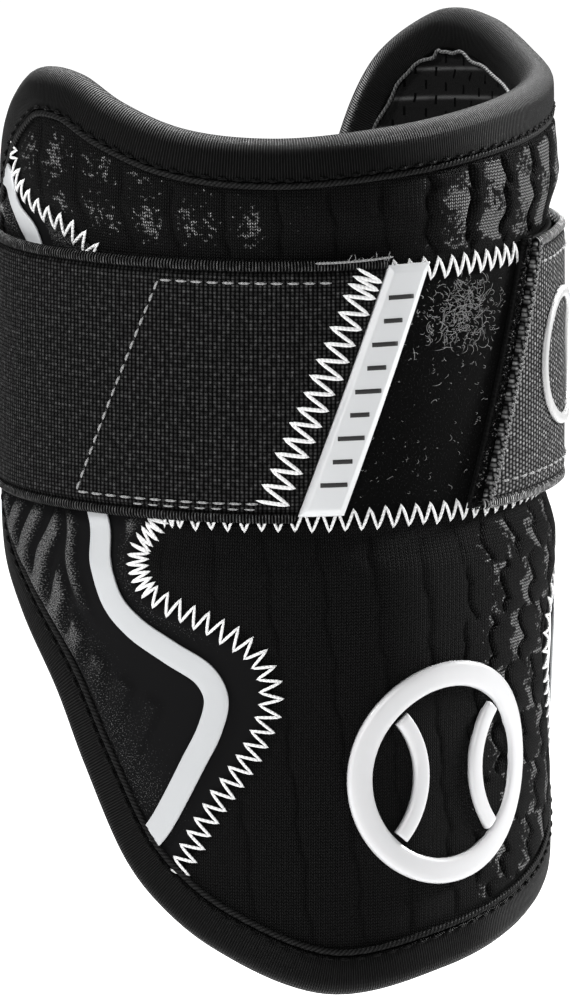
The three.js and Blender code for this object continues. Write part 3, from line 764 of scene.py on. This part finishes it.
def addSidePanel(name, sign, lines):
    rows, across = (90, 88, 200), 110
    corners = ("Head", "EndMiddle", "EndFoot", "Foot")
    inset = sign * shell["halfGap"]
    grid = fill(
        rimPart(name + "Head", name + "SeamHead", across),
        rimPart(name + "Foot", name + "SeamFoot", across),
        joined(*(rimPart(name + a, name + b, n) for a, b, n in zip(corners, corners[1:], rows))),
        joined(*(seamPart(lines, k, n, inset) for k, n in enumerate(rows))),
    )
    if sign > 0:
        grid = grid[:, ::-1]
    x, y = grid[..., 0] * -sign, grid[..., 1]
    rimGap = rimDistance(grid)
    seamGap, roll = softEdges(grid, [lines["seam"]])
    stripeGap = distanceTo(lines["stripe"])(grid)
    clear = ease(stripeGap, 4.5, 6.5) * ease(np.abs(y), 24, 29) * (1 - 0.5 * ease(-y, 50, 64)) * ease(seamGap, 2, 5)
    rise = ribs(x, y, rimGap, stripeGap) * clear
    # Painted highlight: more bright fleece flecks on the ribs, beside the rim low down, above the band and beside the
    # seam, and fewer on the ribs lower down.
    byRim = 0.5 * (1 - ease(rimGap, 12, 25)) * ease(-y, 30, 44) * (1 - ease(-y, 80, 96))
    aboveBand = 0.7 * ease(y, 22, 27) * ease(stripeGap, 4.4, 5.4)
    bySeam = 0.45 * ease(seamGap, 2, 3) * (1 - ease(seamGap, 3.5, 7)) * ease(-y, 18, 26) * (1 - ease(-y, 44, 56))
    paintedFleeceLight = np.maximum(rise * (1 - 0.25 * ease(-y, 44, 60)), byRim + aboveBand) + bySeam
    outer = padFace(grid) + panels["ribRise"] * rise + roll
    replaced = ["side_panel_" + name]
    piece = addSlab(
        name + "SidePanel", grid, outer, -shell["wall"], embossedFleece,
        slot="side_fabric", replaced=replaced, raisedBy=paintedFleeceLight,
    )  # fmt: skip


def addCentre(name, grid, edges, puff, material, slot, node):
    gap, roll = softEdges(grid, edges)
    x, y = grid[..., 0], grid[..., 1]
    inside = ease(gap, 1.5, 5) * ease(rimDistance(grid), 9.3, 11.5)
    rise, crown, flank, creaseShade = puffs(x, y)
    beyond = panelRight(x, y)
    outer = padFace(grid) + puff * rise * inside * (1 + 2.2 * ease(beyond, 0, 20)) + roll
    # Painted light in the attribute: highlights on the crowns at the upper left and on the flanks to the right, less
    # painted shade along the folds. The loop band gets none.
    upperLeft = ease(-x, 24, 44) * ease(y, 20, 26)
    lit = crown * upperLeft + flank * lerp(1.25, 1.6, y > 0) * ease(beyond, 2, 20) - creaseShade
    lit = lit * inside if puff else 0 * x
    piece = addSlab(name, grid, outer, -shell["wall"], material, slot=slot, replaced=[node], raisedBy=lit)


def addPanels():
    for name, (sign, lines) in sides.items():
        addSidePanel(name, sign, lines)
    left, right = sides["left"][1], sides["right"][1]
    seams = [left["seam"], right["seam"]]
    gap, topShare, bottomShare = shell["halfGap"], panels["bandTopShare"], panels["bandBottomShare"]
    top, bottom = shell["bandTop"], shell["bandBottom"]
    bandLines = [acrossBand(top, 0.6, 600), acrossBand(bottom, 0.5, 600)]
    upper = fill(
        rimPart("leftSeamHead", "rightSeamHead", 360),
        acrossBand(top + gap, topShare, 360),
        level(seamPart(left, 0, 90, gap), foot=top + gap),
        level(seamPart(right, 0, 90, -gap), foot=top + gap),
    )
    addCentre("upperPanel", upper, [*seams, bandLines[0]], panels["knitPuff"], puffedKnit, "knit", "upper_panel")
    band = fill(
        acrossBand(top - gap, topShare, 200),
        acrossBand(bottom + gap, bottomShare, 200),
        level(seamPart(left, 1, 70, gap), top - gap, bottom + gap),
        level(seamPart(right, 1, 70, -gap), top - gap, bottom + gap),
    )
    addCentre("loopBand", band, [*seams, *bandLines], 0, loopPile, "loop_pile", "loop_band")
    lower = fill(
        acrossBand(bottom - gap, bottomShare, 210),
        rimPart("leftSeamFoot", "rightSeamFoot", 210),
        level(seamPart(left, 2, 190, gap), head=bottom - gap),
        level(seamPart(right, 2, 190, -gap), head=bottom - gap),
    )
    addCentre("lowerPanel", lower, [*seams, bandLines[1]], panels["lowPuff"], puffedKnit, "knit", "lower_panel")


addPanels()

print("lining")
pleats = {"pitch": 5.6, "lean": 0.05, "width": 0.7, "rise": 0.6}


def addLining():
    grid = fill(
        rimPart("leftEndHead", "rightEndHead", 250),
        rimPart("leftEndFoot", "rightEndFoot", 250),
        rimPart("leftEndHead", "leftEndFoot", 110),
        rimPart("rightEndHead", "rightEndFoot", 110),
    )
    x, y = grid[..., 0], grid[..., 1]
    fold = bell(np.mod(y + pleats["lean"] * x, pleats["pitch"]) - pleats["pitch"] / 2, pleats["width"])
    fold = fold * (0.5 + 0.5 * np.sin(0.21 * x + 0.7 * y)) * ease(rimDistance(grid), 9, 12)
    outer, inner = shell["liningOuter"] + 0 * x, shell["liningInner"] - pleats["rise"] * fold
    rows = len(grid)
    piece = addSlab("liningMesh", grid, outer, inner, slottedMesh, rows, slot="lining_mesh", replaced=["lining"])


addLining()

print("edge binding")
tape = {
    "roll": 3.35, "middle": -2.35, "steps": 740, "ropePlace": 8.9, "ropeRadius": 0.62, "ropeSteps": 900,
    "stitchPlace": 7.7, "stitchOut": 0.9, "dash": 2.1, "dashPitch": 3.2,
    "innerLap": [(2.2, -5.0), (8.0, -5.0), (8.1, -5.3), (7.6, -5.62), (6.0, -5.75)],
    "outerLap": [(6.0, 1.05), (7.5, 0.92), (8.05, 0.62), (8.0, 0.3), (2.2, 0.3)],
}  # fmt: skip


def addBinding():
    line = even(np.concatenate([rimLine, rimLine[:1]]), tape["steps"])[:-1]
    bend = np.arange(270, 89, -15)  # degrees round the roll, from the inner lap over its crest to the outer lap
    arc = [math.radians(a) for a in bend]
    roll = [(tape["roll"] + tape["roll"] * math.cos(a), tape["middle"] + tape["roll"] * math.sin(a)) for a in arc]

    def overProfile(onRoll, onLap):
        return np.concatenate([np.zeros(len(tape["innerLap"])), onRoll, np.full(len(tape["outerLap"]), float(onLap))])

    crest, face = overProfile(bell(bend - 165, 34), 0), overProfile(ease(170 - bend, 0, 40), 1)
    x, y = line.T
    top, foot = ease(y, 20, 34), ease(-y, 76, 90)
    crestHighlight = top * ease(x, -96, -84) * (1 - 0.5 * bell(x + 35, 22))
    faceHighlight = top * ease(x, -6, 14) + foot * ease(x, 4, 20)
    paintedTapeLight = np.minimum(crestHighlight[:, None] * crest + faceHighlight[:, None] * face, 1)  # painted highlight on the tape's crest along the top, and on its face at the top and at the lower right
    profile = tape["innerLap"] + roll + tape["outerLap"]
    given = {"slot": "binding_tape", "replaced": ["edge_binding"], "raisedBy": paintedTapeLight}
    piece = addSweep("bindingTape", line, profile, onShell, bindingTape, closed=True, **given)


def insideRim(inset, wave=0.0):  # a closed line that keeps its distance from the rim, also round its corners
    line = rimLine + np.reshape(inset + wave, (-1, 1)) * rimLeft
    line = line[rimDistance(line) > (inset - 0.9 if np.ndim(wave) else inset - 0.3)]
    return np.concatenate([line, line[:1]])


def addBindingStitches():
    turn = np.arange(8) / 8 * 2 * math.pi - math.pi / 2
    outward = np.stack([np.cos(turn) * tape["ropeRadius"], np.sin(turn) * tape["ropeRadius"] + 0.5], 1)
    outerLine = even(insideRim(tape["ropePlace"]), tape["ropeSteps"])[:-1]
    addSweep("selvageOuter", outerLine, outward, onShell, selvageRope, closed=True)
    turns = np.arange(len(rimLine)) / len(rimLine) * 2 * math.pi
    wave = 0.35 * np.sin(37 * turns) + 0.25 * np.sin(61 * turns + 1)
    innerLine = even(insideRim(tape["ropePlace"] - 0.4, wave), tape["ropeSteps"])[:-1]
    inward = outward * 0.6
    inward[:, 1] = shell["liningInner"] - 0.6 - inward[:, 1]
    addSweep("selvageInner", innerLine, inward[::-1], onShell, innerRopeHighlight, closed=True)

    def flat(spots):
        return np.full(spots.shape[:-1], tape["stitchOut"])

    stitchLine = insideRim(tape["stitchPlace"])
    addThreads("bindingStitches", dashes(stitchLine, tape["dash"], tape["dashPitch"], flat, 0.24), 0.38, blackThread)
    shifted = np.roll(stitchLine[:-1], -9, 0)
    addThreads("bindingGlints", dashes(shifted, 1.0, tape["dashPitch"], flat, 0.35), 0.17, overlockThread)


addBinding()
addBindingStitches()

print("strap")
strap = {
    "wall": 1.3, "sewnEnd": -22.8, "tabEnd": 16.8, "slant": 19, "leftShare": 0.1, "tabShare": 0.2,
    "sewnLift": -0.5, "overRim": 1.3, "tabBulge": 2.1, "tabLift": 1.1, "columns": 491, "rows": 96,
}  # fmt: skip
strapLength = 2 * halfRound + strap["sewnEnd"] - strap["tabEnd"]
strapSlope = strap["slant"] / shell["strapWidth"]
# Where the lift changes: turns of half the oval and shares of the half girth past x = 0.
liftPlaces = [
    (0, 0.45, "sewnLift"), (0, 0.8, "overRim"),
    (2, -0.62, "overRim"), (2, -0.4, "tabBulge"), (2, -0.26, "tabLift"),
]  # fmt: skip


def liftRow(halves, share, lift):
    return (strap["sewnEnd"] + halves * halfRound + share * shell["halfGirth"]) / strapLength, strap[lift]


liftRows = [(0, strap["sewnLift"]), *(liftRow(*row) for row in liftPlaces), (1.001, strap["tabLift"])]


def strapLift(along):
    lift = np.full(np.shape(along), strap["sewnLift"])
    for (start, low), (end, high) in zip(liftRows, liftRows[1:]):
        lift = np.where(along >= start, lerp(low, high, ease(along, start, end)), lift)
    return lift


def strapLean(along, y):
    leaning = np.maximum(0, np.maximum(1 - along / strap["leftShare"], 1 - (1 - along) / strap["tabShare"]))
    return leaning * strap["slant"] * y / shell["strapWidth"]


def strapFace(points):  # the strap's outer face at places on the pattern
    x, y = points[..., 0], points[..., 1]
    x = np.where(x > 0, x - 2 * halfRound, x)
    along = (strap["sewnEnd"] - x) / strapLength
    for _ in range(6):
        along = (strap["sewnEnd"] - x + strapLean(along, y)) / strapLength
    return strapLift(along) + strap["wall"]


def addStrap():
    up = np.linspace(0.5, -0.5, strap["rows"]) * shell["strapWidth"]
    along, y = np.meshgrid(np.linspace(1, 0, strap["columns"]), up)
    x = strap["sewnEnd"] - along * strapLength + strapLean(along, y)
    edge = shell["strapWidth"] / 2 - np.abs(y)
    lift = strapLift(along)
    end = np.minimum(along, 1 - along) * strapLength
    selvedge = 0.16 * bell(edge - 1.0, 0.7) - 0.45 * bell(edge - 2.2, 0.35) - 0.55 * (1 - ease(edge, 0, 0.8)) ** 2
    outer = lift + strap["wall"] + selvedge - 0.4 * (1 - ease(end, 0, 0.7))
    inner = lift + 0.3 * (1 - ease(edge, 0, 0.8)) ** 2
    grid = np.stack([x, y], -1)
    # 1 on the selvedge hem; below zero in the groove beside it, which the material turns into painted shade.
    hem = 1 - ease(edge, 1.6, 2.0) - bell(edge - 2.2, 0.3)
    given = {"slot": "webbing", "replaced": ["strap"], "raisedBy": hem}
    piece = addSlab("elasticStrap", grid, outer, inner, [strapWebbing, tabWebbing], backRows=25, **given)
    centres = np.empty(len(piece.data.polygons) * 3)
    piece.data.polygons.foreach_get("center", centres)
    centres = centres.reshape(-1, 3)
    tab = (centres[:, 0] > 0) & (centres[:, 1] < -0.012)
    piece.data.polygons.foreach_set("material_index", tab.astype(int))


hooks = {"steps": 60, "start": -2.2, "end": 42, "bristles": 1300, "glints": 130, "reach": 0.45, "edge": 25.2}


def addHooks():
    up = np.linspace(0.5, -0.5, hooks["steps"]) * (shell["strapWidth"] - 0.6)
    share, y = np.meshgrid(np.linspace(0, 1, hooks["steps"]), up)
    grid = np.stack([strap["tabEnd"] + strapSlope * y + lerp(hooks["start"], hooks["end"], share), y], -1)
    rough = 0.06 * chance.standard_normal(share.shape)
    piece = addSlab("hookPatch", grid, 0.5 + rough, -0.7, hookFuzz, slot="hook", replaced=["hook_strip"])
    count, glints = hooks["bristles"], hooks["glints"]
    y = chance.uniform(-hooks["edge"], hooks["edge"], count)
    x = strap["tabEnd"] + strapSlope * y - chance.uniform(-0.2, 2.4, count)
    turn = chance.uniform(0, 2 * math.pi, count)[:, None]
    share = np.linspace(0, 1, 5)[None]
    reach = hooks["reach"] * np.sin(share * math.pi)
    out = 0.4 + 0.75 * np.sin(share * 2.4) + 0 * turn
    bristles = np.stack([x[:, None] + reach * np.cos(turn), y[:, None] + reach * np.sin(turn), out], -1)
    addThreads("hookBristles", bristles[glints:], 0.11, blackThread, ring=4)
    addThreads("hookGlints", bristles[:glints], 0.1, overlockThread, ring=4)


# Corners of the sewn end's stitches: degrees round the front, then mm up.
sewn = {
    "bold": ((-18.1, 23.0), (-37.8, -22.4)), "boldWidth": 6.0, "boldPitch": 3.3,
    "head": (-60.1, 21.4), "foot": (-78.8, -21.6), "topEnd": (-23.3, 21.4), "bottomEnd": (-39.9, -21.6),
    "second": ((-66, -22.7), (-39.9, -22.7)), "frayed": 16,
}  # fmt: skip


def addSewnEnd():
    def line(corners, count):
        return even(np.array([(math.radians(turn) * shell["frontDepth"], up) for turn, up in corners]), count)

    bold = zigzag(line(sewn["bold"], 60), sewn["boldWidth"], sewn["boldPitch"], strapFace, 0.4, dense=4)
    addThreads("sewnEndZigzag", bold, 0.42, whiteThread)
    rows = {"top": ("head", "topEnd", 3.1), "slanted": ("head", "foot", 2.6), "bottom": ("foot", "bottomEnd", 3.2)}
    for name, (start, end, pitch) in rows.items():
        run = dashes(line((sewn[start], sewn[end]), 200), 0.76 * pitch, pitch, strapFace, 0.25)
        addThreads("strapDashes." + name, run, 0.26, greyThread)
    run = dashes(line(sewn["second"], 200), 2.1, 3.2, strapFace, 0.25)
    addThreads("strapDashes.second", run, 0.2, greyThread)
    count = sewn["frayed"]
    x = strap["sewnEnd"] + strapSlope * 25 - chance.uniform(0, 9, count)
    share = np.linspace(0, 1, 6)[None]
    bend = chance.uniform(-1, 1, count)[:, None]
    long = chance.uniform(0.8, 2.2, count)[:, None]
    frayed = np.stack([x[:, None] + bend * share**2, 24.9 + long * share, 0.4 + 0.5 * share + 0 * bend], -1)
    addThreads("frayedEnd", frayed, 0.09, paleHair, ring=4)
    corner = strap["sewnEnd"] + strapSlope * 25.4
    rising = 25.2 + 0.7 * np.linspace(0, 1, 40) ** 2
    cut = np.stack([np.linspace(corner - 15, corner + 0.6, 40), rising, np.full(40, 0.75)], 1)
    addThreads("hemEdge", cut[None], 0.24, paleHair)


def addTabStitches():
    y = np.linspace(-25, 25, 120)
    edge = np.stack([strap["tabEnd"] + strapSlope * y + 1.3, y], 1)
    addThreads("tabOverlock", zigzag(edge, 1.6, 1.3, strapFace, 0.3), 0.24, overlockThread)
    for name, height in (("top", 20.5), ("bottom", -20.5)):
        run = np.stack([np.linspace(strap["tabEnd"] + strapSlope * height + 3, 60, 90), np.full(90, height)], 1)
        addThreads("tabDashes." + name, dashes(run, 2.2, 3.1, strapFace, 0.3), 0.28, greyThread)


addStrap()
addHooks()
addSewnEnd()
addTabStitches()

print("seam stitches")
seamThread = {  # each kind's width and pitch, then what they share
    "side": (4.7, 3.0), "above": (4.6, 3.4), "band": (4.4, 3.3),
    "radius": 0.32, "lift": 0.5, "startAt": 66, "stopShort": 14,
}  # fmt: skip


def addSeamStitches():
    def face(spots):
        return padFace(spots) + 0.15

    def sew(name, line, dense, kind="side"):
        width, pitch = seamThread[kind]
        addThreads(name, zigzag(line, width, pitch, face, seamThread["lift"], dense), seamThread["radius"], whiteThread)

    for name, (_, lines) in sides.items():
        cut = lines["cuts"]
        sew(name + "SeamAbove", even(lines["seam"][seamThread["startAt"] : cut[1] + 1], 300), 0, "above")
        sew(name + "SeamBelow", even(lines["seam"][cut[2] : cut[3] - seamThread["stopShort"]], 500), 17)
    sew("bandSeamTop", acrossBand(shell["bandTop"], 0.575, 600), 3, "band")
    sew("bandSeamBottom", acrossBand(shell["bandBottom"], 0.475, 600), 3, "band")


pile = {"count": 640, "gathered": 0.74, "middle": (4, 14), "spread": (4.6, 4.0), "left": -14, "right": 13}


def addCurls():  # light loops of the band's pile, gathered towards its upper right, between the label and the tab
    count, middle, spread = pile["count"], pile["middle"], pile["spread"]
    gathered = chance.random(count) < pile["gathered"]
    x = np.where(gathered, chance.normal(middle[0], spread[0], count), chance.uniform(-20, 18, count))
    y = np.where(gathered, chance.normal(middle[1], spread[1], count), chance.uniform(-21, 20, count))
    leant = x - 0.37 * y
    keep = (np.abs(y + 1.2) < 21) & (leant > pile["left"]) & (leant < pile["right"])
    x, y = x[keep], y[keep]
    share = np.linspace(0, 1, 9)[None]
    turn = chance.uniform(0, 2 * math.pi, len(x))[:, None] + (share - 0.5) * chance.normal(0, 2.2, len(x))[:, None]
    size = chance.gamma(2.2, 0.62, len(x))[:, None] * np.where(gathered[keep], 1, 0.45)[:, None] / 8
    rise = 0.35 + 0.4 * np.sin(share * math.pi) + 0 * size
    steps = [np.cumsum(size * wave(turn), axis=1) for wave in (np.cos, np.sin)]
    curls = np.stack([x[:, None] + steps[0], y[:, None] + steps[1], -1.0 + rise], -1)
    addThreads("pileCurls", curls, 0.05, paleHair, ring=4)


addSeamStitches()
addCurls()

print("label, stripes and badges")
label = {"width": 8.9, "height": 48.4, "base": -0.7, "wall": 1.8, "gap": 0.3, "marks": 9, "marksReach": 18}
film = {"width": 4.8, "wall": 0.5, "base": 0.45, "bevel": 0.18, "steps": 260}
ball = {"radius": 22, "bar": 5, "seamBar": 3.2, "drop": 76.5, "wall": 1.4, "base": 0.25}
tabRing = {"radius": 12.5, "bar": 2.2, "place": 41, "wall": 0.8, "base": 0.1}


def barProfile(width, wall, base, bevel):
    half, top = 0.5 * width, base + wall
    rounded = (half - 0.3 * bevel, top - 0.3 * bevel)
    side = [(half, base), (half, top - bevel), rounded, (half - bevel, top), (0.25 * width - 0.5 * bevel, top + 0.06)]
    return side + [(-a, out) for a, out in reversed(side)]


def addLabel():
    width, start, top = label["width"], strap["sewnEnd"] + label["gap"], label["base"] + label["wall"]
    across, y = np.meshgrid(np.linspace(0, 1, 49), np.linspace(0.5, -0.5, 221) * label["height"])
    edge = np.minimum(np.minimum(across, 1 - across) * width, label["height"] / 2 - np.abs(y))
    grid = np.stack([start + strapSlope * y + across * width, y], -1)
    outer = top - 0.75 * (1 - ease(edge, -0.2, 1.5))
    addSlab("labelBar", grid, outer, label["base"], glossyLabel, slot="label_plastic", replaced=["strap_label"])
    for k in range(label["marks"]):
        middle = lerp(-label["marksReach"], label["marksReach"], k / (label["marks"] - 1))
        reach = 1.9 if k % 2 else 2.6
        centre = start + strapSlope * middle + width / 2
        line = np.array([[centre + t * reach, middle] for t in np.linspace(-1, 1, 9)])
        addSweep("labelMark.%d" % (k + 1), line, barProfile(0.9, 0.12, top - 0.05, 0.05), onShell, labelInk)


def stripeFace(points):  # the film sinks under the binding at both ends
    return padFace(points) - 1.1 * (1 - ease(rimDistance(points), 8.0, 9.4))


def addStripes():
    for name, (_, lines) in sides.items():
        line = even(lines["stripe"], film["steps"])
        profile = barProfile(film["width"], film["wall"], film["base"], film["bevel"])
        addSweep(name + "Stripe", line, profile, stripeFace, pearlFilm, slot="stripe_film", replaced=["stripe_" + name])


def circle(middle, radius, count, start=0.0, sweep=2 * math.pi, closed=True):
    turn = start + sweep * np.arange(count) / (count if closed else count - 1)
    return np.stack([middle[0] + radius * np.cos(turn), middle[1] + radius * np.sin(turn)], 1)


def addBall():
    def add(name, line, width, bevel, closed, node):
        profile = barProfile(width, ball["wall"], ball["base"], bevel)
        addSweep(name, line, profile, padFace, badgePlastic, closed=closed, slot="badge_plastic", replaced=[node])

    ringLine = circle((0, -ball["drop"]), ball["radius"] - ball["bar"] / 2, 160)
    add("ballRing", ringLine, ball["bar"], 0.8, True, "emblem_ring")
    radius, offset = 0.8 * ball["radius"], 1.1 * ball["radius"]
    reach = ball["radius"] - ball["bar"] - 0.9
    half = math.acos((offset**2 + radius**2 - reach**2) / (2 * offset * radius))
    for name, (sign, _) in sides.items():
        facing = math.pi if sign > 0 else 0
        line = circle((sign * offset, -ball["drop"]), radius, 48, facing - half, 2 * half, closed=False)
        add(name + "BallSeam", line, ball["seamBar"], 0.6, False, "emblem_seam_" + name)


def addTabRing():
    line = circle((tabRing["place"], 0), tabRing["radius"], 120)
    profile = barProfile(tabRing["bar"], tabRing["wall"], tabRing["base"], 0.5)
    addSweep("tabRing", line, profile, strapFace, ringRubber, closed=True, slot="ring_rubber", replaced=["tab_ring"])


addLabel()
addStripes()
addBall()
addTabRing()

print("done")
